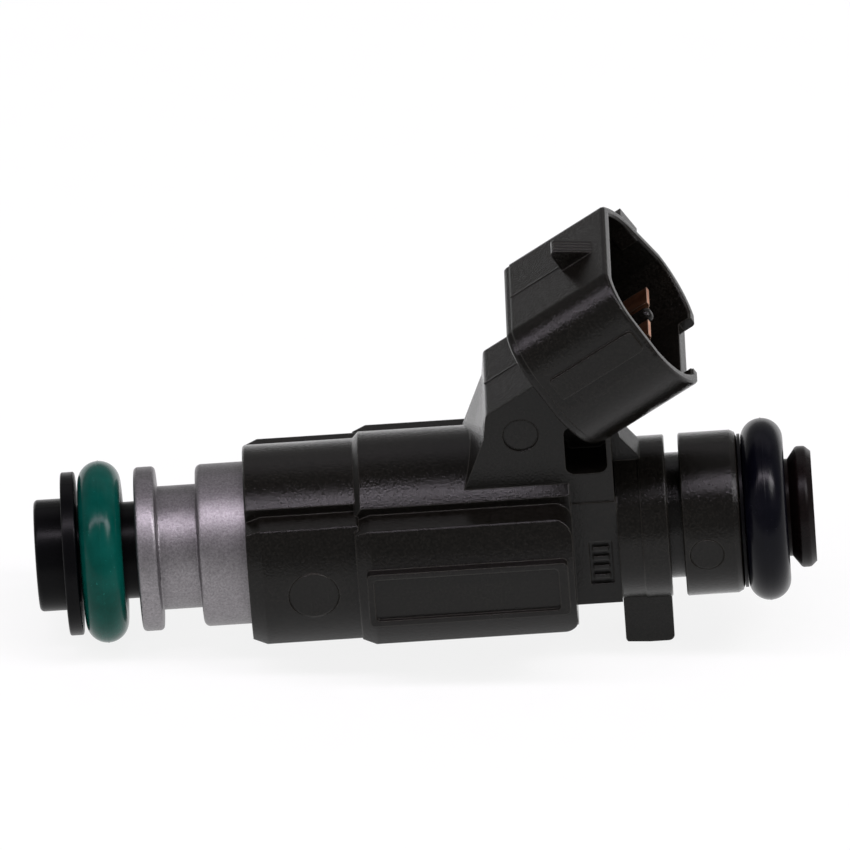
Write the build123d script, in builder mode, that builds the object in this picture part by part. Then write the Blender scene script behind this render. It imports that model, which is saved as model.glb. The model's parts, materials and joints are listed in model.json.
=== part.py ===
"""Top-feed solenoid fuel injector, as an assembly of separate pieces.

Frame: millimetres. The injector lies along +X, from its nozzle to its fuel inlet, with the
electrical connector towards +Z. The origin is the centre of the lower O-ring, on the axis.
"""

import os
from math import cos, hypot, radians, sin

from build123d import *

# ---------------------------------------------------------------- driving dimensions

# O-ring seats: both rings are the 14.6 mm size that seals in the manifold and in the rail.
o_ring_radius = 7.3
o_ring_wire_radius = 1.7
seat_radius = o_ring_radius - 2 * o_ring_wire_radius
seat_gap = 0.02
upper_seal_x = 53.14

# Nozzle cap.
cap_front_x = -5.32
cap_flange_x = -3.04
cap_flange_end_x = -1.93
cap_nose_radius = 4.48
cap_flange_radius = 6.55

# Steel magnet housing: collar, neck and coil can.
collar_x = 2.83
collar_end_x = 4.53
collar_radius = 6.58
neck_radius = 4.95
can_x = 7.75
can_end_x = 33.0
can_radius = 6.5
can_bore = 5.55

# Overmoulded plastic body: two coil sections, latch block and rail end.
front_x = 11.65
step_x = 20.4
rear_end_x = 37.65
front_radius = 7.8
rear_radius = 8.28
front_flat = 5.0
rear_flat = 5.8
lug_half_height = 5.28
front_lug_radius = hypot(7.2, lug_half_height)
rear_lug_radius = hypot(8.3, lug_half_height)
block_end_x = 41.3
block_half_width = 5.15
block_core_radius = 6.2
rail_start_x = 43.2
block_half_height = 4.7
clip_groove_x = 45.34
clip_groove_end_x = 46.46
clip_groove_radius = 5.02
rail_shoulder_x = 51.15
rail_radius = 6.53

# Connector: its axis leans 32 degrees above the injector's axis, in the XZ plane.
connector_angle = radians(32)
mouth_x = 45.17
mouth_z = 20.65
shroud_length = 9.9
shroud_half_height = 6.37
shroud_wall = 0.85
socket_depth = 8.3
plate_half = 5.0

# Terminals.
terminal_pitch = 5.0
blade_width = 2.3
tail_width = 1.2
blade_thickness = 0.64
blade_drop = 1.4
tip_setback = 1.1

# Magnet and valve, by radius from the axis.
fit_gap = 0.04
armature_radius = 3.3
guide_bore = armature_radius + fit_gap
tube_radius = 3.75
bobbin_bore = tube_radius + 0.03
coil_radius = 5.3
needle_lift = 0.1
needle_land_radius = 1.5
needle_stem_radius = 1.0

# Stations of the magnet and valve along X.
orifice_x = -4.6
nozzle_x = -4.3
stop_x = 8.05
stop_end_x = 8.75
armature_x = 12.4
armature_end_x = 20.35
pole_x = armature_end_x + needle_lift + 0.05
bobbin_x = 15.0
bobbin_end_x = 31.3
spring_x = 16.5
sleeve_x = 28.5
tube_end_x = 54.4
inlet_end_x = 57.0

# ---------------------------------------------------------------- shared shapes


def half_section(*points):
    """Face in the XZ plane, bounded by (x, radius) points, for turning about the X axis."""
    with BuildSketch(Plane.XZ) as section:
        with BuildLine():
            Polyline(*points, close=True)
        make_face()
    return section.sketch


def ring_section(start, end, inside, outside):
    """Half section of a plain ring between two stations and two radii."""
    return half_section((start, inside), (end, inside), (end, outside), (start, outside))


def slab(start, end, half_y, low_z, high_z, mode=Mode.ADD):
    """Block between two stations, symmetric across the middle plane, joined to the open part."""
    with Locations(((start + end) / 2, 0, (low_z + high_z) / 2)):
        Box(end - start, 2 * half_y, high_z - low_z, mode=mode)


mouth_plane = Plane(
    origin=(mouth_x, 0, mouth_z),
    x_dir=(0, 1, 0),
    z_dir=(cos(connector_angle), 0, sin(connector_angle)),
)


def connector_point(behind, above):
    """(x, z) of a point on the middle plane, behind the mouth and above its centre."""
    x = mouth_x - behind * cos(connector_angle) - above * sin(connector_angle)
    z = mouth_z - behind * sin(connector_angle) + above * cos(connector_angle)
    return x, z


def shroud_outline(inset=0.0):
    """Connector outline: flat top, rounded shoulders, nearly flat flanks and a narrower foot.

    The flank that faces -Y stands out further than the keyed flank that faces +Y.
    """
    top, foot = shroud_half_height, -shroud_half_height
    plain_crease, plain_widest = (-8.3, 3.1), (-8.75, -0.6)
    keyed_crease, keyed_widest = (7.5, 3.1), (8.4, -1.4)
    with BuildSketch() as outline:
        with BuildLine():
            Line((-5.2, top), (5.2, top))
            ThreePointArc((5.2, top), (6.55, 5.0), keyed_crease)
            Line(keyed_crease, keyed_widest)
            ThreePointArc(keyed_widest, (7.7, -3.9), (5.0, foot))
            Line((5.0, foot), (-5.0, foot))
            ThreePointArc((-5.0, foot), (-7.9, -3.6), plain_widest)
            Line(plain_widest, plain_crease)
            ThreePointArc(plain_crease, (-7.3, 5.15), (-5.2, top))
        make_face()
        fillet(outline.vertices().group_by(Axis.Y)[-1], 0.8)
        fillet(outline.vertices().group_by(Axis.Y)[0], 0.7)
        if inset:
            offset(amount=-inset, mode=Mode.REPLACE)
    return outline.sketch


# ---------------------------------------------------------------- nozzle end

cap_bore = 3.1

with BuildPart() as nozzle_cap:
    revolve(
        half_section(
            (cap_front_x, 2.0),
            (cap_front_x, cap_nose_radius),
            (cap_flange_x, cap_nose_radius),
            (cap_flange_x, cap_flange_radius),
            (cap_flange_end_x, cap_flange_radius),
            (cap_flange_end_x, seat_radius - seat_gap),
            (collar_x, seat_radius - seat_gap),
            (collar_x, cap_bore),
            (orifice_x, cap_bore),
            (orifice_x, 2.0),
        ),
        axis=Axis.X,
    )
    nose_edges = nozzle_cap.edges().filter_by(GeomType.CIRCLE).group_by(Axis.X)[0]
    fillet(nose_edges.sort_by(SortBy.RADIUS)[-1], 0.35)
    chamfer(nose_edges.sort_by(SortBy.RADIUS)[0], 0.3)
    flange_rims = nozzle_cap.edges().filter_by(
        lambda e: e.geom_type == GeomType.CIRCLE and abs(e.radius - cap_flange_radius) < 0.01
    )
    fillet(flange_rims, 0.18)


def o_ring(station):
    """Ring of round section seated on the injector, with the faint mould flash line outside."""
    centre_radius = o_ring_radius - o_ring_wire_radius
    with BuildSketch(Plane.XZ) as section:
        with Locations((station, centre_radius)):
            Circle(o_ring_wire_radius)
        with Locations((station, o_ring_radius - 0.02)):
            Rectangle(0.12, 0.08)
    return section.sketch


with BuildPart() as lower_o_ring:
    revolve(o_ring(0.0), axis=Axis.X)

with BuildPart() as upper_o_ring:
    revolve(o_ring(upper_seal_x), axis=Axis.X)

upper_ring_start = upper_seal_x - o_ring_wire_radius

with BuildPart() as upper_backing_ring:
    revolve(
        ring_section(rail_shoulder_x + 0.02, upper_ring_start - 0.02, seat_radius, 6.15), axis=Axis.X
    )

# ---------------------------------------------------------------- valve

guide_radius = needle_land_radius + 0.03
seat_hole_radius = 0.45
nozzle_stem_radius = cap_bore - 0.02
nozzle_head_x = 4.75
nozzle_head_radius = 4.1
stop_recess_x = 6.9
stop_recess_radius = 2.4
seal_groove_x = 6.0
seal_groove_end_x = 7.0
seal_groove_radius = 3.3
cone_length = 1.1

with BuildPart() as nozzle_body:
    revolve(
        half_section(
            (nozzle_x, seat_hole_radius),
            (nozzle_x + 0.35, seat_hole_radius),
            (nozzle_x + 0.35 + cone_length, guide_radius),
            (stop_recess_x, guide_radius),
            (stop_recess_x, stop_recess_radius),
            (stop_x, stop_recess_radius),
            (stop_x, nozzle_head_radius),
            (seal_groove_end_x, nozzle_head_radius),
            (seal_groove_end_x, seal_groove_radius),
            (seal_groove_x, seal_groove_radius),
            (seal_groove_x, nozzle_head_radius),
            (nozzle_head_x, nozzle_head_radius),
            (nozzle_head_x, nozzle_stem_radius),
            (nozzle_x, nozzle_stem_radius),
        ),
        axis=Axis.X,
    )
    stem_end = nozzle_body.edges().filter_by(GeomType.CIRCLE).group_by(Axis.X)[0]
    chamfer(stem_end.sort_by(SortBy.RADIUS)[-1], 0.25)

spray_holes = 4

with BuildPart() as orifice_plate:
    with BuildSketch(Plane.YZ.offset(orifice_x)):
        Circle(2.6)
        with PolarLocations(0.75, spray_holes):
            Circle(0.16, mode=Mode.SUBTRACT)
    extrude(amount=nozzle_x - orifice_x)

seal_wire = 0.38

with BuildPart() as nozzle_body_seal:
    with BuildSketch(Plane.XZ):
        with Locations(((seal_groove_x + seal_groove_end_x) / 2, seal_groove_radius + seal_wire + 0.02)):
            Circle(seal_wire)
    revolve(axis=Axis.X)

with BuildPart() as stop_washer:
    revolve(ring_section(stop_x, stop_end_x, 1.35, nozzle_head_radius), axis=Axis.X)
    # The slot lets the washer slide over the needle's stem.
    slab(stop_x, stop_end_x, 1.15, 0, 5, mode=Mode.SUBTRACT)

needle_tip_x = nozzle_x + 0.55
needle_cone_x = nozzle_x + 0.4 + cone_length
land_length = 1.5
upper_land_x = 4.6
upper_land_end_x = upper_land_x + land_length
stop_clearance = 0.01
flange_end_x = stop_x - needle_lift - stop_clearance
flange_x = flange_end_x - 0.8
needle_flange_radius = 2.0
needle_end_x = armature_x + 2.6

with BuildPart() as needle:
    revolve(
        half_section(
            (needle_tip_x - 0.1, 0),
            (needle_tip_x + 0.1, 0.5),
            (needle_cone_x, needle_land_radius - 0.06),
            (needle_cone_x + 0.2, needle_land_radius),
            (needle_cone_x + land_length, needle_land_radius),
            (needle_cone_x + land_length, needle_stem_radius),
            (upper_land_x, needle_stem_radius),
            (upper_land_x, needle_land_radius),
            (upper_land_end_x, needle_land_radius),
            (upper_land_end_x, needle_stem_radius),
            (flange_x, needle_stem_radius),
            (flange_x, needle_flange_radius),
            (flange_end_x, needle_flange_radius),
            (flange_end_x, needle_stem_radius),
            (needle_end_x, needle_stem_radius),
            (needle_end_x, 0),
        ),
        axis=Axis.X,
    )
    # Flats ground on both lands let the fuel pass to the seat.
    ground_from = needle_cone_x + 0.3
    ground_to = upper_land_end_x + 0.1
    slab(ground_from, ground_to, 0.8, 1.3, 1.6, mode=Mode.SUBTRACT)
    slab(ground_from, ground_to, 0.8, -1.6, -1.3, mode=Mode.SUBTRACT)

fuel_bore = 0.75
spring_pocket = 1.85

with BuildPart() as armature:
    revolve(
        half_section(
            (armature_x, needle_stem_radius),
            (needle_end_x, needle_stem_radius),
            (needle_end_x, fuel_bore),
            (spring_x, fuel_bore),
            (spring_x, spring_pocket),
            (armature_end_x, spring_pocket),
            (armature_end_x, armature_radius),
            (armature_x, armature_radius),
        ),
        axis=Axis.X,
    )
    chamfer(
        armature.edges().filter_by(
            lambda e: e.geom_type == GeomType.CIRCLE and abs(e.radius - armature_radius) < 0.01
        ),
        0.25,
    )
    # Cross holes carry the fuel from the spring pocket to the outside of the needle.
    with Locations(Plane.XZ):
        with Locations((needle_end_x + 0.7, 0)):
            Hole(0.45)

spring_wire = 0.2
spring_radius = 1.45
spring_turns = 11
spring_length = sleeve_x - spring_x - 2 * spring_wire

with BuildPart() as return_spring:
    with BuildLine():
        coil_path = Helix(
            spring_length / spring_turns,
            spring_length,
            spring_radius,
            center=(spring_x + spring_wire, 0, 0),
            direction=(1, 0, 0),
        )
    with BuildSketch(Plane(origin=coil_path @ 0, z_dir=coil_path % 0)):
        Circle(spring_wire)
    sweep(is_frenet=True)

# ---------------------------------------------------------------- magnet

sleeve_end_x = 24.0
tube_step_x = 35.6
tube_step_end_x = 36.2
tube_bore = 1.9
inlet_bore = 2.9

with BuildPart() as magnet_housing:
    revolve(
        half_section(
            (collar_x, cap_bore),
            (nozzle_head_x, cap_bore),
            (nozzle_head_x, nozzle_head_radius + 0.02),
            (stop_end_x, nozzle_head_radius + 0.02),
            (stop_end_x, guide_bore),
            (bobbin_x - 0.9, guide_bore),
            (bobbin_x - 0.9, can_bore),
            (can_end_x, can_bore),
            (can_end_x, can_radius),
            (can_x, can_radius),
            (can_x, neck_radius),
            (collar_end_x, neck_radius),
            (collar_end_x, collar_radius),
            (collar_x, collar_radius),
        ),
        axis=Axis.X,
    )
    collar_rims = magnet_housing.edges().filter_by(
        lambda e: e.geom_type == GeomType.CIRCLE and abs(e.radius - collar_radius) < 0.01
    )
    fillet(collar_rims, 0.35)
    can_rim = (
        magnet_housing.edges()
        .filter_by(lambda e: e.geom_type == GeomType.CIRCLE and abs(e.radius - can_radius) < 0.01)
        .sort_by(Axis.X)[0]
    )
    fillet(can_rim, 0.5)
    neck_roots = magnet_housing.edges().filter_by(
        lambda e: e.geom_type == GeomType.CIRCLE and abs(e.radius - neck_radius) < 0.01
    )
    fillet(neck_roots, 0.15)

with BuildPart() as guide_sleeve:
    revolve(
        ring_section(bobbin_x - 0.85, sleeve_end_x, guide_bore, tube_radius), axis=Axis.X
    )

with BuildPart() as inlet_tube:
    revolve(
        half_section(
            (pole_x, tube_bore),
            (tube_step_end_x, tube_bore),
            (tube_step_end_x + 2, inlet_bore),
            (tube_end_x, inlet_bore),
            (tube_end_x, seat_radius - seat_gap),
            (tube_step_end_x, seat_radius - seat_gap),
            (tube_step_x, tube_radius),
            (sleeve_end_x, tube_radius),
            (sleeve_end_x, guide_bore),
            (pole_x, guide_bore),
        ),
        axis=Axis.X,
    )

with BuildPart() as adjusting_sleeve:
    revolve(ring_section(sleeve_x, sleeve_x + 6, 0.95, tube_bore - 0.02), axis=Axis.X)
    chamfer(
        adjusting_sleeve.edges().filter_by(GeomType.CIRCLE).group_by(Axis.X)[-1].sort_by(SortBy.RADIUS)[-1],
        0.3,
    )

flange_width = 0.8
tube_wall = 0.5

with BuildPart() as coil_bobbin:
    revolve(
        half_section(
            (bobbin_x, bobbin_bore),
            (bobbin_end_x, bobbin_bore),
            (bobbin_end_x, can_bore - 0.03),
            (bobbin_end_x - flange_width, can_bore - 0.03),
            (bobbin_end_x - flange_width, bobbin_bore + tube_wall),
            (bobbin_x + flange_width, bobbin_bore + tube_wall),
            (bobbin_x + flange_width, can_bore - 0.03),
            (bobbin_x, can_bore - 0.03),
        ),
        axis=Axis.X,
    )

# The winding shows the ridges of its outer layer of wire.
winding_start = bobbin_x + flange_width + 0.05
winding_end = bobbin_end_x - flange_width - 0.05
wire_rows = 30
wire_pitch = (winding_end - winding_start) / wire_rows

with BuildPart() as coil_winding:
    ridge_points = [(winding_start, bobbin_bore + tube_wall + 0.02)]
    for row in range(wire_rows):
        start = winding_start + row * wire_pitch
        ridge_points += [(start, coil_radius - 0.12), (start + wire_pitch / 2, coil_radius)]
    ridge_points += [(winding_end, coil_radius - 0.12), (winding_end, bobbin_bore + tube_wall + 0.02)]
    revolve(half_section(*ridge_points), axis=Axis.X)

with BuildPart() as yoke_washer:
    revolve(ring_section(bobbin_end_x + 0.05, can_end_x, tube_radius + 0.02, can_bore - 0.02), axis=Axis.X)
    # Gap for the terminal tails.
    slab(bobbin_end_x, can_end_x + 1, 2.9, 3.2, can_bore + 1, mode=Mode.SUBTRACT)

# Square-section ring that closes the nozzle end of the bobbin.
with BuildPart() as bobbin_seal:
    revolve(ring_section(bobbin_x - 0.82, bobbin_x - 0.02, tube_radius + 0.03, 4.6), axis=Axis.X)

# ---------------------------------------------------------------- terminals

tail_z = 4.45
tail_start_x = bobbin_end_x - 1.8
riser_x = 35.0
tail_cut_x = riser_x + 2.5
tip = connector_point(tip_setback, -blade_drop)
riser_z = tip[1] - (tip[0] - riser_x) * sin(connector_angle) / cos(connector_angle)
bend_radius = 0.7


def terminal(side):
    """Bent blade: a narrow tail from the bobbin, a riser, and the wide blade in the socket."""
    with BuildPart() as piece:
        with BuildSketch(Plane.XZ):
            with BuildLine():
                FilletPolyline(
                    (bobbin_end_x, tail_z),
                    (riser_x, tail_z),
                    (riser_x, riser_z),
                    tip,
                    radius=bend_radius,
                )
            trace(line_width=blade_thickness)
        extrude(amount=blade_width / 2, both=True)
        # The tail keeps only the inner part of the blade's width, to pass inside the can.
        with Locations(((tail_start_x + tail_cut_x) / 2, side * blade_width / 2, tail_z)):
            Box(tail_cut_x - tail_start_x, 2 * (blade_width - tail_width), 3.4, mode=Mode.SUBTRACT)
        tip_corners = piece.edges().filter_by(Axis.Z, reverse=True).group_by(Axis.X)[-1]
        chamfer(tip_corners.filter_by(GeomType.LINE).group_by(SortBy.LENGTH)[0], 0.3)
    return piece.part.moved(Location((0, side * terminal_pitch / 2, 0)))


terminal_left = terminal(-1)
terminal_right = terminal(1)

# ---------------------------------------------------------------- inlet filter

filter_bore = 2.1
filter_rim_radius = 4.85
basket_x = 46.6
basket_foot_x = 47.6
basket_end_x = 52.6
basket_radius = 2.3
rib_radius = 2.2
rib_count = 4

with BuildPart() as inlet_filter_frame:
    revolve(
        half_section(
            (basket_x, 0),
            (basket_x, basket_radius),
            (basket_x + 0.6, basket_radius),
            (basket_x + 0.6, basket_radius - 0.4),
            (basket_foot_x, basket_radius - 0.4),
            (basket_foot_x, 0),
        ),
        axis=Axis.X,
    )
    revolve(
        half_section(
            (basket_end_x, filter_bore),
            (inlet_end_x, filter_bore + 0.2),
            (inlet_end_x, filter_rim_radius - 0.45),
            (inlet_end_x - 0.5, filter_rim_radius),
            (inlet_end_x - 1.2, filter_rim_radius),
            (inlet_end_x - 1.9, seat_radius),
            (tube_end_x + 0.02, seat_radius),
            (tube_end_x + 0.02, inlet_bore - fit_gap),
            (basket_end_x, inlet_bore - fit_gap),
        ),
        axis=Axis.X,
    )
    rim_edges = inlet_filter_frame.edges().filter_by(
        lambda e: e.geom_type == GeomType.CIRCLE and abs(e.radius - filter_rim_radius) < 0.01
    )
    fillet(rim_edges, 0.35)
    # Ribs join the foot of the basket to its head.
    for turn in range(rib_count):
        angle = 45 + 360 / rib_count * turn
        rib_x = (basket_x + basket_end_x) / 2 + 0.3
        rib_place = (rib_x, -rib_radius * sin(radians(angle)), rib_radius * cos(radians(angle)))
        with Locations(Location(rib_place, (angle, 0, 0))):
            Box(basket_end_x - basket_x - 0.4, 0.6, 0.5)

with BuildPart() as inlet_filter_screen:
    revolve(ring_section(basket_foot_x + 0.02, basket_end_x - 0.02, 1.8, 1.93), axis=Axis.X)

# ---------------------------------------------------------------- overmoulded body

lug_edge = 0.3
lug_lead = 1.2
lug_bevel = 0.45
lug_tail_round = 1.4
step_ramp = 0.55
overlap = 0.3


def lug_block(start, end, radius, tail_round):
    """Lugs on both flanks: a cylinder cut flat above and below, with bevelled leading edges."""
    bevelled = lug_half_height - lug_bevel
    with BuildPart() as block:
        with BuildSketch(Plane.YZ.offset(start)) as across:
            Circle(radius)
            Rectangle(2 * radius, 2 * lug_half_height, mode=Mode.INTERSECT)
            fillet(across.vertices(), lug_edge)
        extrude(amount=end - start)
        with BuildSketch(Plane.XZ) as along:
            with BuildLine():
                Polyline(
                    (start, bevelled),
                    (start + lug_lead, lug_half_height),
                    (end, lug_half_height),
                    (end, -lug_half_height),
                    (start + lug_lead, -lug_half_height),
                    (start, -bevelled),
                    close=True,
                )
            make_face()
            fillet(along.vertices().group_by(Axis.X)[-1], tail_round)
        extrude(amount=radius, both=True, mode=Mode.INTERSECT)
        revolve(
            half_section(
                (start, 0), (start, radius - lug_bevel), (start + lug_lead, radius), (end, radius), (end, 0)
            ),
            axis=Axis.X,
            mode=Mode.INTERSECT,
        )
    return block


def round_body(start, end, radius, flat, ramp):
    """Round body with flats on both flanks and a bevelled leading edge."""
    with BuildPart() as body:
        revolve(
            half_section((start, 0), (start, radius - ramp), (start + ramp, radius), (end, radius), (end, 0)),
            axis=Axis.X,
        )
        slab(start, end, flat, -radius, radius, mode=Mode.INTERSECT)
    return body


front_body = round_body(front_x, step_x + overlap, front_radius, front_flat, 0.15)
front_lugs = lug_block(front_x, step_x + overlap, front_lug_radius, 0.2)
rear_body = round_body(step_x, rear_end_x, rear_radius, rear_flat, step_ramp)
rear_lugs = lug_block(step_x, rear_end_x, rear_lug_radius, lug_tail_round)

# Outline of the neck that carries the connector, in the middle plane.
neck_top_x = 31.4
neck_top_z = 13.35
neck_run = 6.7
neck_end_x = 41.2

with BuildPart() as neck:
    with BuildSketch(Plane.XZ):
        with BuildLine():
            Polyline(
                (28.4, 4.4),
                (31.15, 11.2),
                (neck_top_x, neck_top_z),
                (
                    neck_top_x + neck_run * cos(connector_angle),
                    neck_top_z + neck_run * sin(connector_angle),
                ),
                (neck_end_x, 10.9),
                (neck_end_x, 4.4),
                close=True,
            )
        make_face()
    extrude(amount=plate_half, both=True)
    fillet(neck.edges().filter_by(Axis.Y).sort_by(Axis.X)[1:3], 0.5)
    # Core-out windows on both sides, with a web left between them.
    window_depth = 4.0
    for side in (-1, 1):
        with BuildSketch(Plane.XZ.offset(side * (plate_half - window_depth))):
            with Locations((39.15, 9.6)):
                RectangleRounded(3.3, 4.4, 0.7)
        extrude(amount=side * window_depth, mode=Mode.SUBTRACT)

rim_length = 0.7
rim_step = 0.1
rim_round = 0.3
notch_width = 7.8
notch_depth = 1.1
mouth_round = 0.3
mouth_bevel = 0.12

with BuildPart() as shroud:
    with BuildSketch(mouth_plane.offset(-mouth_round)):
        add(shroud_outline())
    extrude(amount=mouth_round + rim_length - shroud_length)
    # Rounded outer edge of the mouth.
    with BuildSketch(mouth_plane.offset(-mouth_round)):
        add(shroud_outline())
    with BuildSketch(mouth_plane.offset(-0.3 * mouth_round)):
        add(shroud_outline(0.25 * mouth_round))
    with BuildSketch(mouth_plane):
        add(shroud_outline(0.75 * mouth_round))
    loft(ruled=True)
    # Slightly smaller rim around the back, with its rear edge rounded off.
    with BuildSketch(mouth_plane.offset(rim_length - shroud_length)):
        add(shroud_outline(rim_step))
    extrude(amount=rim_round - rim_length)
    with BuildSketch(mouth_plane.offset(rim_round - shroud_length)):
        add(shroud_outline(rim_step))
    with BuildSketch(mouth_plane.offset(0.3 * rim_round - shroud_length)):
        add(shroud_outline(rim_step + 0.25 * rim_round))
    with BuildSketch(mouth_plane.offset(-shroud_length)):
        add(shroud_outline(rim_step + 0.75 * rim_round))
    loft(ruled=True)
    with BuildSketch(mouth_plane):
        add(shroud_outline(shroud_wall))
    extrude(amount=-socket_depth, mode=Mode.SUBTRACT)
    with BuildSketch(mouth_plane):
        add(shroud_outline(shroud_wall - mouth_bevel))
    extrude(amount=-mouth_bevel, mode=Mode.SUBTRACT)
    # Notch in the foot wall, between the two corner lips.
    with Locations(mouth_plane.location * Pos(0, -shroud_half_height, 0)):
        Box(notch_width, 3 * shroud_wall, 2 * notch_depth, mode=Mode.SUBTRACT)

# Raised pad on the plain flank: it follows the shroud's outline, a little proud of it.
pad_height = 0.28
pad_start = 0.55
pad_length = 7.9
pad_width = 1.95
pad_above = 1.52

with BuildPart() as flank_pad:
    with BuildSketch(mouth_plane.offset(-pad_start)):
        add(shroud_outline(-pad_height))
    extrude(amount=-pad_length)
    with Locations(mouth_plane.location * Pos(-8.7, pad_above, -pad_start - pad_length / 2)):
        Box(1.0, pad_width, pad_length, mode=Mode.INTERSECT)
    fillet(flank_pad.edges().filter_by(Axis.Y), 0.3)

# Post that stands between the blades in the socket.
post_radius = 0.62
post_root = socket_depth + 0.2
post_setback = 0.95

with BuildPart() as post:
    with BuildSketch(mouth_plane.offset(-post_root)):
        with Locations((0, -blade_drop)):
            Circle(post_radius)
    extrude(amount=post_root - post_setback)
    fillet(post.faces().sort_by(Axis.Z)[-1].edges(), 0.45)

# Mould's parting line, a fine ridge along the top of the neck and of the shroud.
ridge = 0.1
wedge_back = 4.2
wedge_front = 1.1
wedge_height = 2.2
wedge_half = 0.88

with BuildPart() as parting_line:
    with BuildSketch(Plane.XZ):
        with BuildLine():
            Line(
                connector_point(shroud_length - rim_length, shroud_half_height),
                connector_point(wedge_back, shroud_half_height),
            )
        trace(line_width=ridge)
        with BuildLine():
            Line(
                (neck_top_x, neck_top_z),
                (
                    neck_top_x + (neck_run - 1) * cos(connector_angle),
                    neck_top_z + (neck_run - 1) * sin(connector_angle),
                ),
            )
        trace(line_width=ridge)
    extrude(amount=ridge / 2, both=True)

with BuildPart() as lock_wedge:
    with BuildSketch(Plane.XZ):
        with BuildLine():
            Polyline(
                connector_point(wedge_back, shroud_half_height - 0.3),
                connector_point(wedge_back - 0.15, shroud_half_height + wedge_height),
                connector_point(wedge_front, shroud_half_height - 0.1),
                connector_point(wedge_front, shroud_half_height - 0.3),
                close=True,
            )
        make_face()
    extrude(amount=wedge_half, both=True)
    fillet(lock_wedge.edges().filter_by(Axis.Y).sort_by(Axis.Z)[-1], 0.35)
    # Fine grooves run down the ramp.
    for groove in range(-1, 2):
        with BuildSketch(Plane.XZ.offset(groove * wedge_half / 2)):
            with BuildLine():
                Line(
                    connector_point(wedge_back - 0.15, shroud_half_height + wedge_height),
                    connector_point(wedge_front, shroud_half_height - 0.1),
                )
            trace(line_width=2 * ridge)
        extrude(amount=ridge / 2, both=True, mode=Mode.SUBTRACT)

# Small keying lug on the far flank, at the mouth.
with BuildPart() as key_lug:
    with Locations(mouth_plane.location * Pos(7.6, 2.5, -0.9)):
        Box(2.0, 2.3, 1.5)

# Index tab below the rail end, and the rib that braces the connector above it.
tab_half = 1.85
tab_end_x = 45.2
tab_low_z = -10.6
brace_half = 1.4
brace_x = 40.8
brace_end_x = 43.35
brace_top_z = 10.7

with BuildPart() as tab:
    slab(block_end_x, tab_end_x, tab_half, tab_low_z, -4.0)
    fillet(tab.edges().filter_by(Axis.Y).group_by(Axis.Z)[0], 0.5)

with BuildPart() as brace:
    with BuildSketch(Plane.XZ):
        with BuildLine():
            Polyline(
                (brace_x, 5),
                (brace_x, brace_top_z),
                (brace_x + 0.7, brace_top_z),
                (brace_x + 1.1, 8.4),
                (brace_end_x, rail_radius),
                (brace_end_x, 5),
                close=True,
            )
        make_face()
    extrude(amount=brace_half, both=True)

mark_depth = 1.0
mark_groove = 0.08
frame_x = 21.15
frame_end_x = 37.15
frame_half_height = 2.41
frame_reach = 10.3
frame_border = 0.5
frame_depth = 0.3


def round_mark(x, z, radius, face_y):
    """Ejector-pin witness on both flanks of the open part: a flat disc inside a fine groove."""
    for side in (-1, 1):
        with BuildSketch(Plane.XZ.offset(side * face_y)) as disc:
            with Locations((x, z)):
                Circle(radius)
        extrude(disc.sketch, amount=-side * mark_depth)
        extrude(disc.sketch, amount=side * mark_depth, mode=Mode.SUBTRACT)
        with BuildSketch(Plane.XZ.offset(side * (face_y - mark_groove))) as rim:
            with Locations((x, z)):
                Circle(radius)
                Circle(radius - mark_groove, mode=Mode.SUBTRACT)
        extrude(rim.sketch, amount=side * mark_groove, mode=Mode.SUBTRACT)


def lug_frame():
    """Thin raised frame around a shallow pocket, along the crest of both rear lugs."""
    centre_x = (frame_x + frame_end_x) / 2
    length = frame_end_x - frame_x
    for side in (-1, 1):
        with BuildSketch(Plane.XZ.offset(side * frame_reach)) as border:
            with Locations((centre_x, 0)):
                RectangleRounded(length, 2 * frame_half_height, 0.4)
        extrude(border.sketch, amount=-side * 1.5)
        with BuildSketch(Plane.XZ.offset(side * (frame_reach - frame_depth))) as pocket:
            with Locations((centre_x - frame_border / 4, 0)):
                RectangleRounded(
                    length - 2.5 * frame_border, 2 * (frame_half_height - frame_border), 0.35
                )
        extrude(pocket.sketch, amount=side * 2 * frame_depth, mode=Mode.SUBTRACT)


def latch_mark():
    """Recessed panel with four plain bars, on one side of the latch block."""
    depth = 0.25
    bar_pitch = 0.85
    with BuildSketch(Plane.XZ.offset(block_half_width - depth)) as panel:
        with Locations((39.8, -0.9)):
            Rectangle(1.85, 3.9)
            with GridLocations(0, bar_pitch, 1, 4):
                Rectangle(1.3, 0.45 * bar_pitch, mode=Mode.SUBTRACT)
    extrude(panel.sketch, amount=2 * depth, mode=Mode.SUBTRACT)


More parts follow.
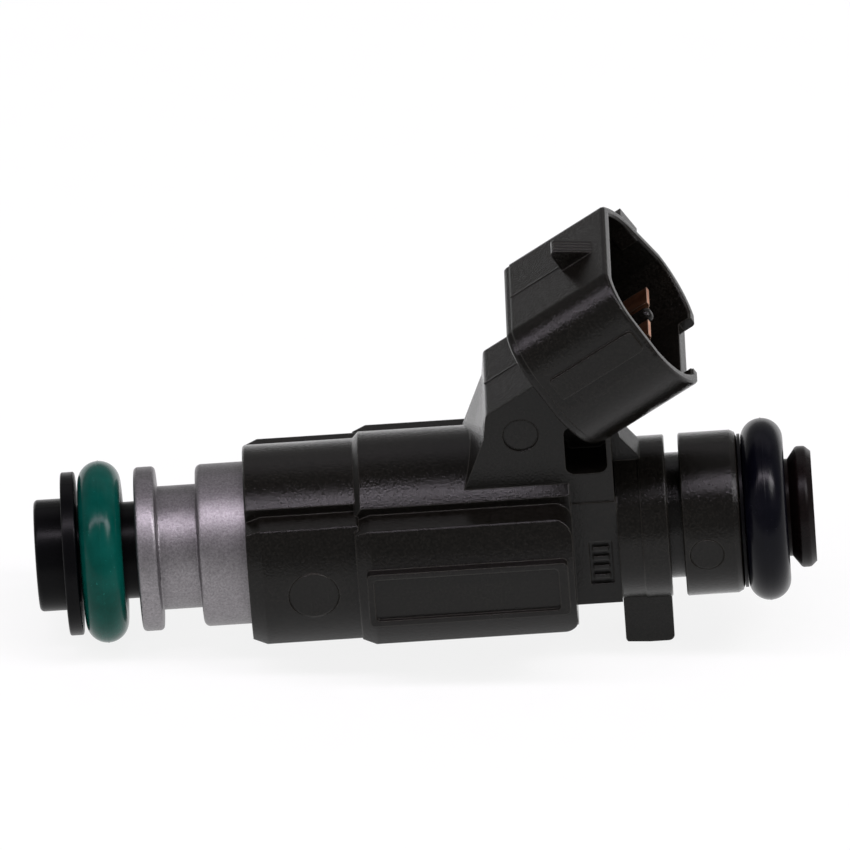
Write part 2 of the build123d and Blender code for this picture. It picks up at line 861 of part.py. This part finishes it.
with BuildPart() as overmould_housing:
    for body in (front_body, front_lugs, rear_body, rear_lugs):
        add(body.part)
    slab(rear_end_x - 1, block_end_x, block_half_width, -block_half_height, block_half_height)
    with BuildSketch(Plane.YZ.offset(rear_end_x - 1)):
        Circle(block_core_radius)
        Rectangle(2 * block_half_width, 2 * block_core_radius, mode=Mode.INTERSECT)
    extrude(amount=block_end_x - rear_end_x + 1)
    revolve(ring_section(block_end_x, rail_start_x, 0, rail_radius - 0.13), axis=Axis.X)
    revolve(
        half_section(
            (rail_start_x, 0),
            (rail_start_x, rail_radius - 0.03),
            (clip_groove_x - 0.1, rail_radius - 0.03),
            (clip_groove_x, rail_radius - 0.13),
            (clip_groove_x, clip_groove_radius),
            (clip_groove_end_x, clip_groove_radius),
            (clip_groove_end_x, rail_radius - 0.13),
            (clip_groove_end_x + 0.1, rail_radius),
            (rail_shoulder_x - 0.55, rail_radius),
            (rail_shoulder_x - 0.15, rail_radius - 0.2),
            (rail_shoulder_x, rail_radius - 0.6),
            (rail_shoulder_x, 0),
        ),
        axis=Axis.X,
    )
    add(neck.part)
    add(shroud.part)
    add(flank_pad.part)
    add(post.part)
    add(parting_line.part)
    add(lock_wedge.part)
    add(key_lug.part)
    add(tab.part)
    add(brace.part)
    lug_frame()
    latch_mark()
    round_mark(16.8, 0.0, 2.05, front_lug_radius - 0.12)
    round_mark(48.28, 0.0, 1.4, rail_radius - 0.1)
    round_mark(34.08, 11.32, 1.45, plate_half - 0.12)
    # Everything that the plastic is moulded around.
    revolve(
        half_section(
            (front_x - 1, 0),
            (front_x - 1, can_radius),
            (can_end_x, can_radius),
            (can_end_x, tube_radius),
            (tube_step_x, tube_radius),
            (tube_step_end_x, seat_radius - seat_gap),
            (rail_shoulder_x + 1, seat_radius - seat_gap),
            (rail_shoulder_x + 1, 0),
        ),
        axis=Axis.X,
        mode=Mode.SUBTRACT,
    )
    add(terminal_left, mode=Mode.SUBTRACT)
    add(terminal_right, mode=Mode.SUBTRACT)

# ---------------------------------------------------------------- export

pieces = {
    "overmould_housing": overmould_housing.part,
    "magnet_housing": magnet_housing.part,
    "nozzle_cap": nozzle_cap.part,
    "lower_o_ring": lower_o_ring.part,
    "upper_o_ring": upper_o_ring.part,
    "upper_backing_ring": upper_backing_ring.part,
    "nozzle_body": nozzle_body.part,
    "nozzle_body_seal": nozzle_body_seal.part,
    "orifice_plate": orifice_plate.part,
    "stop_washer": stop_washer.part,
    "needle": needle.part,
    "armature": armature.part,
    "return_spring": return_spring.part,
    "adjusting_sleeve": adjusting_sleeve.part,
    "guide_sleeve": guide_sleeve.part,
    "inlet_tube": inlet_tube.part,
    "inlet_filter_frame": inlet_filter_frame.part,
    "inlet_filter_screen": inlet_filter_screen.part,
    "coil_bobbin": coil_bobbin.part,
    "coil_winding": coil_winding.part,
    "bobbin_seal": bobbin_seal.part,
    "yoke_washer": yoke_washer.part,
    "terminal_left": terminal_left,
    "terminal_right": terminal_right,
}

os.makedirs("parts", exist_ok=True)
for name, piece in pieces.items():
    piece.label = name
    export_step(piece, f"parts/{name}.step")
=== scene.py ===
"""Looks of the fuel injector: materials, finer rings, spring copy, floor, light and camera.

Frame: metres. +X runs from the nozzle to the fuel inlet, +Z is towards the connector.
"""

import json
from math import atan2, cos, pi, radians, sin

import bpy
from mathutils import Matrix, Vector


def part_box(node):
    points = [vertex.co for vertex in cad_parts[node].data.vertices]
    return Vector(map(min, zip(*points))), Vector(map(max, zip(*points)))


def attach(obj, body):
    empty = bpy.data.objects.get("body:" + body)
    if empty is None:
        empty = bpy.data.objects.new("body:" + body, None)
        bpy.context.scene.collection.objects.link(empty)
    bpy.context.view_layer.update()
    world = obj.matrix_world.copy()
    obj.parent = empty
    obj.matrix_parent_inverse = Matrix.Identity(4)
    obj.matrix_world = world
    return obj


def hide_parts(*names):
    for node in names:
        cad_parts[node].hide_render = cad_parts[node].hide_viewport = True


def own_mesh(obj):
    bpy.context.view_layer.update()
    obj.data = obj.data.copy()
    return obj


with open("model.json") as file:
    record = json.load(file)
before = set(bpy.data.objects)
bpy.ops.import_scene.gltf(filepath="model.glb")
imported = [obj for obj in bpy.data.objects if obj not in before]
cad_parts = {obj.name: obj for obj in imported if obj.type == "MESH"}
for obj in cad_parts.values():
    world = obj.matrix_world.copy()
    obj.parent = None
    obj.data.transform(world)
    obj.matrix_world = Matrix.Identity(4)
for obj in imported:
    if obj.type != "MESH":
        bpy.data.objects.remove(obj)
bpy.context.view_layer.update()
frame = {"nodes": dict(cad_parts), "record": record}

MM = 0.001
BODY = "injector_body"

# ---------------------------------------------------------------- driving values

# The injector stands on its lower O-ring and on its index tab, so the floor leans under it.
tab_station = 43.2 * MM
ring_foot = Vector((0.0, 0.0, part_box("lower_o_ring")[0].z))
tab_foot = Vector((tab_station, 0.0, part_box("overmould_housing")[0].z))
floor_slope = atan2(ring_foot.z - tab_foot.z, tab_foot.x - ring_foot.x)
floor_half = 3.0
floor_glow = 0.86

# The camera looks down on the -Y side from view_height above the horizon. It stands
# view_offset further along +X than the point in the middle of the picture.
view_height = radians(31.06)
view_roll = radians(3.71)
view_centre = Vector((26.46, 0.0, 9.87)) * MM
view_distance = 1.8
view_offset = 33.0 * MM
view_width = 67.85 * MM

# A long narrow box above the near side draws the highlight along the body. A broad dim one
# lights the far side, and a small bright one shines into the socket.
body_centre = Vector((26, 0, 3)) * MM
socket_front = Vector((42, 0, 22)) * MM
key_height = radians(74)
key_distance = 0.7
back_offset = Vector((0.1, 0.5, 0.62))
socket_offset = Vector((0.45, -0.2, 0.5))


# ---------------------------------------------------------------- node helpers


def new_material(name):
    """Empty node material with a Principled shader. Returns (material, nodes, links, shader)."""
    material = bpy.data.materials.new(name)
    material.use_nodes = True
    nodes = material.node_tree.nodes
    links = material.node_tree.links
    return material, nodes, links, nodes["Principled BSDF"]


def object_coords(nodes, links, stretch=(1, 1, 1)):
    """Object coordinates, stretched along the axes to draw streaks."""
    coords = nodes.new("ShaderNodeTexCoord")
    mapping = nodes.new("ShaderNodeMapping")
    mapping.inputs["Scale"].default_value = stretch
    links.new(coords.outputs["Object"], mapping.inputs["Vector"])
    return mapping.outputs["Vector"]


def noise(nodes, links, coords, size, detail=2.0, roughness=0.5):
    """Noise whose blobs are about size metres across."""
    texture = nodes.new("ShaderNodeTexNoise")
    texture.inputs["Scale"].default_value = 1 / size
    texture.inputs["Detail"].default_value = detail
    texture.inputs["Roughness"].default_value = roughness
    links.new(coords, texture.inputs["Vector"])
    return texture.outputs["Fac"]


def remap(nodes, links, value, low, high, new_low, new_high):
    """Value stretched from one range to another, and held inside it."""
    node = nodes.new("ShaderNodeMapRange")
    node.inputs["From Min"].default_value = low
    node.inputs["From Max"].default_value = high
    node.inputs["To Min"].default_value = new_low
    node.inputs["To Max"].default_value = new_high
    links.new(value, node.inputs["Value"])
    return node.outputs["Result"]


def mix_colour(nodes, links, share, first, second):
    """Colour that goes from first to second as share goes from 0 to 1."""
    node = nodes.new("ShaderNodeMix")
    node.data_type = "RGBA"
    links.new(share, node.inputs["Factor"])
    for socket, colour in ((node.inputs[6], first), (node.inputs[7], second)):
        if isinstance(colour, tuple):
            socket.default_value = (*colour, 1)
        else:
            links.new(colour, socket)
    return node.outputs[2]


def soft_normal(nodes, radius):
    """Normal that rounds sharp edges by radius."""
    node = nodes.new("ShaderNodeBevel")
    node.samples = 4
    node.inputs["Radius"].default_value = radius
    return node.outputs["Normal"]


def bump(nodes, links, height, depth, normal=None, strength=1.0):
    """Bump of the given height texture, depth metres deep, on top of another normal."""
    node = nodes.new("ShaderNodeBump")
    node.inputs["Strength"].default_value = strength
    node.inputs["Distance"].default_value = depth
    links.new(height, node.inputs["Height"])
    if normal is not None:
        links.new(normal, node.inputs["Normal"])
    return node.outputs["Normal"]


def edge_share(nodes, links, radius):
    """1 along sharp edges within radius, and 0 on open surfaces."""
    rounded = soft_normal(nodes, radius)
    plain = nodes.new("ShaderNodeNewGeometry")
    product = nodes.new("ShaderNodeVectorMath")
    product.operation = "DOT_PRODUCT"
    links.new(rounded, product.inputs[0])
    links.new(plain.outputs["Normal"], product.inputs[1])
    return remap(nodes, links, product.outputs["Value"], 0.98, 0.8, 0.0, 1.0)


# ---------------------------------------------------------------- materials


def moulded_plastic(name, dark, light, grain, grain_depth, rough, shine=0.5, edge_round=0.1 * MM):
    """Moulded plastic: fine grain, faint flow mottling, and a painted highlight along edges and creases."""
    material, nodes, links, shader = new_material(name)
    coords = object_coords(nodes, links)
    mottle = noise(nodes, links, coords, 6 * MM, 4, 0.6)
    grain_height = noise(nodes, links, coords, grain, 3, 0.65)
    fleck = mix_colour(nodes, links, remap(nodes, links, grain_height, 0.35, 0.65, 0, 1), dark, light)
    colour = mix_colour(nodes, links, remap(nodes, links, mottle, 0.3, 0.75, 0, 0.4), fleck, dark)
    # Painted highlight: edges and creases are painted four times lighter, in place of the light that rounded
    # edges catch.
    edge_highlight = tuple(4 * c for c in light)
    edge_highlighted = mix_colour(nodes, links, edge_share(nodes, links, 0.12 * MM), colour, edge_highlight)
    links.new(edge_highlighted, shader.inputs["Base Color"])
    links.new(remap(nodes, links, mottle, 0.35, 0.65, rough - 0.04, rough + 0.06), shader.inputs["Roughness"])
    normal = bump(nodes, links, grain_height, grain_depth, soft_normal(nodes, edge_round))
    links.new(normal, shader.inputs["Normal"])
    shader.inputs["Specular IOR Level"].default_value = shine
    return material


def rubber(name, dark, light, rough, shine):
    """Moulded rubber: smooth, with faint bloom and a few specks of dust."""
    material, nodes, links, shader = new_material(name)
    coords = object_coords(nodes, links)
    bloom = noise(nodes, links, coords, 2.5 * MM, 5, 0.6)
    speck = noise(nodes, links, coords, 0.18 * MM, 2, 0.5)
    colour = mix_colour(nodes, links, remap(nodes, links, bloom, 0.35, 0.7, 0, 1), dark, light)
    dust = tuple(4 * c + 0.02 for c in light)
    dusty = mix_colour(nodes, links, remap(nodes, links, speck, 0.7, 0.78, 0, 0.35), colour, dust)
    links.new(dusty, shader.inputs["Base Color"])
    links.new(remap(nodes, links, bloom, 0.3, 0.7, rough - 0.05, rough + 0.07), shader.inputs["Roughness"])
    links.new(bump(nodes, links, speck, 0.003 * MM), shader.inputs["Normal"])
    shader.inputs["Specular IOR Level"].default_value = shine
    return material


def blasted_steel(name, dark, light, rough):
    """Bead-blasted steel: matt, with a fine sparkle and faint smears."""
    material, nodes, links, shader = new_material(name)
    coords = object_coords(nodes, links)
    pits = noise(nodes, links, coords, 0.18 * MM, 3, 0.75)
    smear = noise(nodes, links, coords, 4 * MM, 4, 0.6)
    colour = mix_colour(nodes, links, remap(nodes, links, pits, 0.3, 0.7, 0, 1), dark, light)
    links.new(colour, shader.inputs["Base Color"])
    shader.inputs["Metallic"].default_value = 1.0
    links.new(remap(nodes, links, smear, 0.3, 0.7, rough - 0.05, rough + 0.06), shader.inputs["Roughness"])
    links.new(bump(nodes, links, pits, 0.02 * MM, soft_normal(nodes, 0.12 * MM)), shader.inputs["Normal"])
    return material


def turned_metal(name, dark, light, rough, metallic=1.0):
    """Turned or ground metal: fine rings round the X axis."""
    material, nodes, links, shader = new_material(name)
    rings = noise(nodes, links, object_coords(nodes, links, (1, 0.02, 0.02)), 0.06 * MM, 2, 0.6)
    smear = noise(nodes, links, object_coords(nodes, links), 1.5 * MM, 4, 0.6)
    colour = mix_colour(nodes, links, remap(nodes, links, smear, 0.3, 0.7, 0, 1), dark, light)
    links.new(colour, shader.inputs["Base Color"])
    shader.inputs["Metallic"].default_value = metallic
    links.new(remap(nodes, links, rings, 0.3, 0.7, rough - 0.08, rough + 0.1), shader.inputs["Roughness"])
    links.new(bump(nodes, links, rings, 0.004 * MM, soft_normal(nodes, 0.06 * MM)), shader.inputs["Normal"])
    return material


def copper_strip(name):
    """Copper alloy strip: rolled lines along it, brown tarnish and bright cut edges."""
    material, nodes, links, shader = new_material(name)
    lines = noise(nodes, links, object_coords(nodes, links, (0.1, 1, 0.1)), 0.08 * MM, 2, 0.6)
    tarnish = noise(nodes, links, object_coords(nodes, links), 1.1 * MM, 4, 0.6)
    colour = mix_colour(
        nodes, links, remap(nodes, links, tarnish, 0.35, 0.65, 0, 1), (0.42, 0.16, 0.08), (0.62, 0.3, 0.17)
    )
    bright = mix_colour(nodes, links, edge_share(nodes, links, 0.12 * MM), colour, (0.85, 0.62, 0.5))
    links.new(bright, shader.inputs["Base Color"])
    shader.inputs["Metallic"].default_value = 1.0
    links.new(remap(nodes, links, lines, 0.3, 0.7, 0.28, 0.42), shader.inputs["Roughness"])
    links.new(bump(nodes, links, lines, 0.004 * MM, soft_normal(nodes, 0.08 * MM)), shader.inputs["Normal"])
    return material


def wound_wire(name):
    """Enamelled copper wire, wound round the X axis."""
    material, nodes, links, shader = new_material(name)
    rows = noise(nodes, links, object_coords(nodes, links, (1, 0.03, 0.03)), 0.2 * MM, 2, 0.5)
    dark, light = (0.4, 0.13, 0.05), (0.62, 0.26, 0.12)
    colour = mix_colour(nodes, links, remap(nodes, links, rows, 0.3, 0.7, 0, 1), dark, light)
    links.new(colour, shader.inputs["Base Color"])
    shader.inputs["Metallic"].default_value = 1.0
    shader.inputs["Roughness"].default_value = 0.3
    shader.inputs["Coat Weight"].default_value = 0.6
    shader.inputs["Coat Roughness"].default_value = 0.15
    return material


def woven_mesh(name):
    """Fine woven mesh: dark openings between pale threads."""
    material, nodes, links, shader = new_material(name)
    coords = object_coords(nodes, links)
    opening = 0.15 * MM
    weave = nodes.new("ShaderNodeTexVoronoi")
    weave.inputs["Scale"].default_value = 1 / opening
    weave.inputs["Randomness"].default_value = 0.1
    links.new(coords, weave.inputs["Vector"])
    share = remap(nodes, links, weave.outputs["Distance"], 0.2, 0.6, 0, 1)
    colour = mix_colour(nodes, links, share, (0.18, 0.16, 0.13), (0.6, 0.56, 0.48))
    links.new(colour, shader.inputs["Base Color"])
    shader.inputs["Roughness"].default_value = 0.6
    links.new(bump(nodes, links, share, 0.02 * MM), shader.inputs["Normal"])
    return material


black_plastic = moulded_plastic(
    "black_plastic",
    dark=(0.002, 0.0017, 0.0013),
    light=(0.0085, 0.0077, 0.0064),
    grain=0.2 * MM,
    grain_depth=0.032 * MM,
    rough=0.12,
    shine=0.21,
    edge_round=0.2 * MM,
)
cap_plastic = moulded_plastic(
    "cap_plastic",
    dark=(0.0012, 0.0012, 0.0016),
    light=(0.0018, 0.0018, 0.0023),
    grain=0.3 * MM,
    grain_depth=0.006 * MM,
    rough=0.3,
    shine=0.08,
)
filter_plastic = moulded_plastic(
    "filter_plastic",
    dark=(0.0024, 0.0014, 0.0014),
    light=(0.0058, 0.0034, 0.0034),
    grain=0.2 * MM,
    grain_depth=0.01 * MM,
    rough=0.3,
    shine=0.1,
)
bobbin_plastic = moulded_plastic(
    "bobbin_plastic",
    dark=(0.42, 0.37, 0.28),
    light=(0.55, 0.5, 0.4),
    grain=0.3 * MM,
    grain_depth=0.006 * MM,
    rough=0.45,
)
black_rubber = rubber("black_rubber", (0.001, 0.001, 0.003), (0.002, 0.002, 0.0045), 0.22, 0.12)
green_rubber = rubber("green_rubber", (0.0002, 0.042, 0.032), (0.0008, 0.064, 0.05), 0.2, 0.1)
housing_steel = blasted_steel("housing_steel", (0.16, 0.152, 0.16), (0.3, 0.285, 0.296), 0.44)
ground_steel = turned_metal("ground_steel", (0.5, 0.5, 0.52), (0.62, 0.62, 0.64), 0.25)
magnet_steel = turned_metal("magnet_steel", (0.42, 0.41, 0.4), (0.52, 0.51, 0.5), 0.35)
spring_steel = turned_metal("spring_steel", (0.33, 0.32, 0.31), (0.46, 0.45, 0.44), 0.3)
terminal_copper = copper_strip("terminal_copper")
copper_wire = wound_wire("copper_wire")
filter_mesh = woven_mesh("filter_mesh")

finishes = {
    "black_plastic": black_plastic,
    "cap_plastic": cap_plastic,
    "filter_plastic": filter_plastic,
    "bobbin_plastic": bobbin_plastic,
    "black_rubber": black_rubber,
    "green_rubber": green_rubber,
    "housing_steel": housing_steel,
    "ground_steel": ground_steel,
    "magnet_steel": magnet_steel,
    "spring_steel": spring_steel,
    "terminal_copper": terminal_copper,
    "copper_wire": copper_wire,
    "filter_mesh": filter_mesh,
}


def dress_nodes():
    """Gives every CAD node the material of its slot in the record."""
    for part in frame["record"]["subparts"]:
        piece = frame["nodes"][part["node"]]
        piece.data.materials.clear()
        piece.data.materials.append(finishes[part["material_slot"]])


dress_nodes()

# ---------------------------------------------------------------- finer rings


def mesh_piece(name, vertices, faces, material, body):
    """Smooth mesh that rides on a body, with the given material."""
    mesh = bpy.data.meshes.new(name)
    mesh.from_pydata(vertices, [], faces)
    mesh.materials.append(material)
    mesh.shade_smooth()
    piece = bpy.data.objects.new(name, mesh)
    bpy.context.scene.collection.objects.link(piece)
    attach(piece, body)
    return piece


def turned(name, profile, material, body, steps=256):
    """Closed (x, radius) profile turned about the X axis."""
    vertices = []
    for step in range(steps):
        angle = 2 * pi * step / steps
        vertices += [(x, r * cos(angle), r * sin(angle)) for x, r in profile]
    count = len(profile)
    faces = []
    for step in range(steps):
        near = step * count
        far = (step + 1) % steps * count
        for i in range(count):
            j = (i + 1) % count
            faces.append((near + i, far + i, far + j, near + j))
    return mesh_piece(name, vertices, faces, material, body)


def ring_profile(station, wire_radius, outside, flash_height, flash_width, steps=192):
    """Round section with a flash line at its outermost point."""
    centre = outside - wire_radius
    profile = []
    for step in range(steps):
        angle = 2 * pi * step / steps
        x = wire_radius * sin(angle)
        r = wire_radius * cos(angle)
        if r > 0:
            r += flash_height * max(0.0, 1 - abs(x) / flash_width)
        profile.append((station + x, centre + r))
    return profile


def finer_ring(node, name, material):
    """Stands for an O-ring node, with a rounder section and a thin flash line."""
    low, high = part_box(node)
    station = (low.x + high.x) / 2
    flash_height = 0.03 * MM
    flash_width = 0.1 * MM
    outside = high.z - flash_height
    profile = ring_profile(station, (high.x - low.x) / 2, outside, flash_height, flash_width)
    piece = turned(name, profile, material, BODY)
    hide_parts(node)
    return piece


finer_ring("lower_o_ring", "lower_ring_rubber", green_rubber)
finer_ring("upper_o_ring", "upper_ring_rubber", black_rubber)

# ---------------------------------------------------------------- return spring


def shortening_spring(node, name):
    """Stands for a spring node: a copy of its mesh that rides on the injector body."""
    piece = bpy.data.objects.new(name, frame["nodes"][node].data.copy())
    bpy.context.scene.collection.objects.link(piece)
    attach(piece, BODY)
    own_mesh(piece)
    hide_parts(node)
    return piece


shortening_spring("return_spring", "return_spring_coil")

# ---------------------------------------------------------------- floor, light and camera


def make_floor():
    """Plain pale floor under the ring and the tab, wide enough for every view."""
    mesh = bpy.data.meshes.new("floor")
    half = floor_half
    corners = [(-half, -half, 0), (half, -half, 0), (half, half, 0), (-half, half, 0)]
    mesh.from_pydata(corners, [], [(0, 1, 2, 3)])
    floor = bpy.data.objects.new("floor", mesh)
    floor.matrix_world = Matrix.Translation(ring_foot) @ Matrix.Rotation(floor_slope, 4, "Y")
    bpy.context.scene.collection.objects.link(floor)
    material, nodes, links, shader = new_material("floor_paper")
    fibre = noise(nodes, links, object_coords(nodes, links), 4 * MM, 3, 0.6)
    colour = mix_colour(nodes, links, fibre, (0.1, 0.1, 0.1), (0.12, 0.12, 0.12))
    links.new(colour, shader.inputs["Base Color"])
    shader.inputs["Roughness"].default_value = 0.9
    shader.inputs["Emission Color"].default_value = (1, 1, 1, 1)
    shader.inputs["Emission Strength"].default_value = floor_glow
    # From below the floor is clear, so that the underside of the injector can be looked at.
    clear = nodes.new("ShaderNodeBsdfTransparent")
    side = nodes.new("ShaderNodeNewGeometry")
    either = nodes.new("ShaderNodeMixShader")
    links.new(side.outputs["Backfacing"], either.inputs[0])
    links.new(shader.outputs["BSDF"], either.inputs[1])
    links.new(clear.outputs["BSDF"], either.inputs[2])
    links.new(either.outputs["Shader"], nodes["Material Output"].inputs["Surface"])
    mesh.materials.append(material)
    return floor


def area_light(name, place, target, width, height, radiance, colour=(1, 1, 1)):
    """Soft box of the given size and brightness, aimed at a target."""
    data = bpy.data.lights.new(name, "AREA")
    data.shape = "RECTANGLE"
    data.size = width
    data.size_y = height
    data.energy = radiance * pi * width * height
    data.color = colour
    lamp = bpy.data.objects.new(name, data)
    lamp.location = place
    lamp.rotation_mode = "QUATERNION"
    lamp.rotation_quaternion = (Vector(target) - Vector(place)).to_track_quat("-Z", "Y")
    bpy.context.scene.collection.objects.link(lamp)
    return lamp


def make_world(horizon, overhead):
    """Dim studio: pale round the horizon and darker overhead."""
    world = bpy.data.worlds.new("studio")
    world.use_nodes = True
    nodes = world.node_tree.nodes
    links = world.node_tree.links
    coords = nodes.new("ShaderNodeTexCoord")
    split = nodes.new("ShaderNodeSeparateXYZ")
    links.new(coords.outputs["Generated"], split.inputs["Vector"])
    links.new(
        remap(nodes, links, split.outputs["Z"], 0.5, 0.9, horizon, overhead),
        nodes["Background"].inputs["Strength"],
    )
    nodes["Background"].inputs["Color"].default_value = (1, 1, 1, 1)
    bpy.context.scene.world = world


def make_camera():
    """Camera above the -Y side, level with the leaning floor."""
    right_flat = Vector((1, 0, 0))
    up_flat = Vector((0, sin(view_height), cos(view_height)))
    back = Vector((0, -cos(view_height), sin(view_height)))
    place = view_centre + back * view_distance + right_flat * view_offset
    back = (place - view_centre).normalized()
    up = up_flat * cos(view_roll) + right_flat * sin(view_roll)
    up = (up - back * up.dot(back)).normalized()
    right = up.cross(back)
    data = bpy.data.cameras.new("camera")
    data.sensor_width = 36.0
    data.lens = data.sensor_width * (place - view_centre).length / view_width
    data.clip_start = 0.01
    data.clip_end = 20
    camera = bpy.data.objects.new("camera", data)
    camera.matrix_world = Matrix.Translation(place) @ Matrix((right, up, back)).transposed().to_4x4()
    bpy.context.scene.collection.objects.link(camera)
    bpy.context.scene.camera = camera


def make_lights():
    """The three soft boxes."""
    key_place = Vector((body_centre.x, -cos(key_height) * key_distance, sin(key_height) * key_distance))
    area_light("key_box", key_place, body_centre, 2.0, 0.09, 13.0, (1.0, 0.91, 1.03))
    back_place = body_centre + back_offset
    area_light("back_box", back_place, body_centre, 0.9, 0.35, 0.35, (1.0, 0.94, 1.02))
    area_light("socket_fill", socket_front + socket_offset, socket_front, 0.25, 0.25, 9.0)


make_floor()
make_world(0.32, 0.18)
make_lights()
make_camera()

bpy.context.scene.view_settings.view_transform = "Standard"
bpy.context.view_layer.update()
